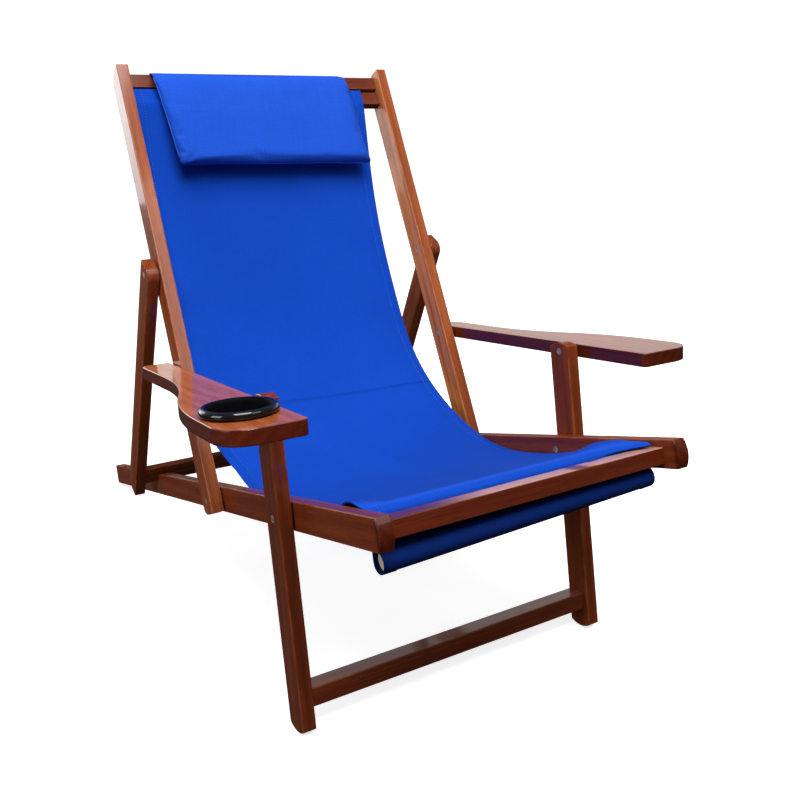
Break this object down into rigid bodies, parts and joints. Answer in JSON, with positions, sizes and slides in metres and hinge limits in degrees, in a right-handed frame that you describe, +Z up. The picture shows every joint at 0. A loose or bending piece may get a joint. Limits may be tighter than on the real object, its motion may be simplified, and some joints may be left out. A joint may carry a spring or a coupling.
{
  "type": "folding sling chair",
  "caption": "Folding wooden lounge chair with a hung cloth sling, head pillow, swept armrests, a cup holder and a notched reclining strut.",
  "frame": {"origin": "floor level under the middle of the chair's bounding box", "axes": "+X to the sitter's left as seen from the front, +Y towards the back, +Z up; the front is -Y"},
  "size_m": [0.694, 1.1636, 0.8439],
  "materials": {
    "varnished_wood": "satin varnish",
    "pale_dowel": "bare",
    "blue_canvas": "woven",
    "bolt_steel": "satin",
    "washer_nylon": "matte",
    "cup_black": "gloss"
  },
  "bodies": {
    "seat_frame": {"seat_rail_right": "varnished_wood", "seat_rail_left": "varnished_wood", "front_crossbar": "varnished_wood", "seat_crossbar": "varnished_wood", "leg_pivot_bolts": "bolt_steel", "leg_pivot_nuts": "bolt_steel", "back_pivot_bolts": "bolt_steel", "back_pivot_nuts": "bolt_steel", "rail_washers": "washer_nylon", "sling": "blue_canvas", "front_hem_dowel": "pale_dowel"},
    "back_frame": {"back_upright_right": "varnished_wood", "back_upright_left": "varnished_wood", "head_crossbar_upper": "varnished_wood", "head_crossbar_lower": "varnished_wood", "strut_pivot_bolts": "bolt_steel", "strut_pivot_nuts": "bolt_steel", "arm_rear_bolts": "bolt_steel", "upright_washers": "washer_nylon", "head_hem_dowel": "pale_dowel", "head_pillow": "blue_canvas", "pillow_flap": "blue_canvas"},
    "front_legs": {"front_leg_right": "varnished_wood", "front_leg_left": "varnished_wood", "front_stretcher": "varnished_wood", "arm_front_bolts": "bolt_steel", "leg_washers": "washer_nylon"},
    "arm_right": {"armrest_right": "varnished_wood", "armrest_inserts_right": "bolt_steel"},
    "arm_left": {"armrest_left": "varnished_wood", "armrest_inserts_left": "bolt_steel", "cup_holder": "cup_black"},
    "strut_frame": {"rear_strut_right": "varnished_wood", "rear_strut_left": "varnished_wood", "strut_crossbar": "varnished_wood", "tenon_pins": "pale_dowel"}
  },
  "joints": [
    {"name": "back_recline", "type": "hinge", "parent": "seat_frame", "child": "back_frame", "pos_m": [0, -0.09304, 0.20416], "axis": [1, 0, 0], "range_deg": [-72, 0], "deforming": ["sling"]},
    {"name": "leg_fold", "type": "hinge", "parent": "seat_frame", "child": "front_legs", "pos_m": [0, -0.35059, 0.27607], "axis": [1, 0, 0], "range_deg": [-88, 0]},
    {"name": "arm_right_fold", "type": "hinge", "parent": "back_frame", "child": "arm_right", "pos_m": [0, -0.00237, 0.38523], "axis": [1, 0, 0], "range_deg": [0, 63]},
    {"name": "arm_left_fold", "type": "hinge", "parent": "back_frame", "child": "arm_left", "pos_m": [0, -0.00237, 0.38523], "axis": [1, 0, 0], "range_deg": [0, 63]},
    {"name": "strut_swing", "type": "hinge", "parent": "back_frame", "child": "strut_frame", "pos_m": [0, 0.06815, 0.52606], "axis": [1, 0, 0], "range_deg": [0, 117]}
  ],
  "couplings": [
    {"joint": "leg_fold", "follows": "back_recline", "ratio": 1.2192},
    {"joint": "arm_right_fold", "follows": "back_recline", "ratio": -0.8735},
    {"joint": "arm_left_fold", "follows": "back_recline", "ratio": -0.8735},
    {"joint": "strut_swing", "follows": "back_recline", "ratio": -1.618}
  ]
}
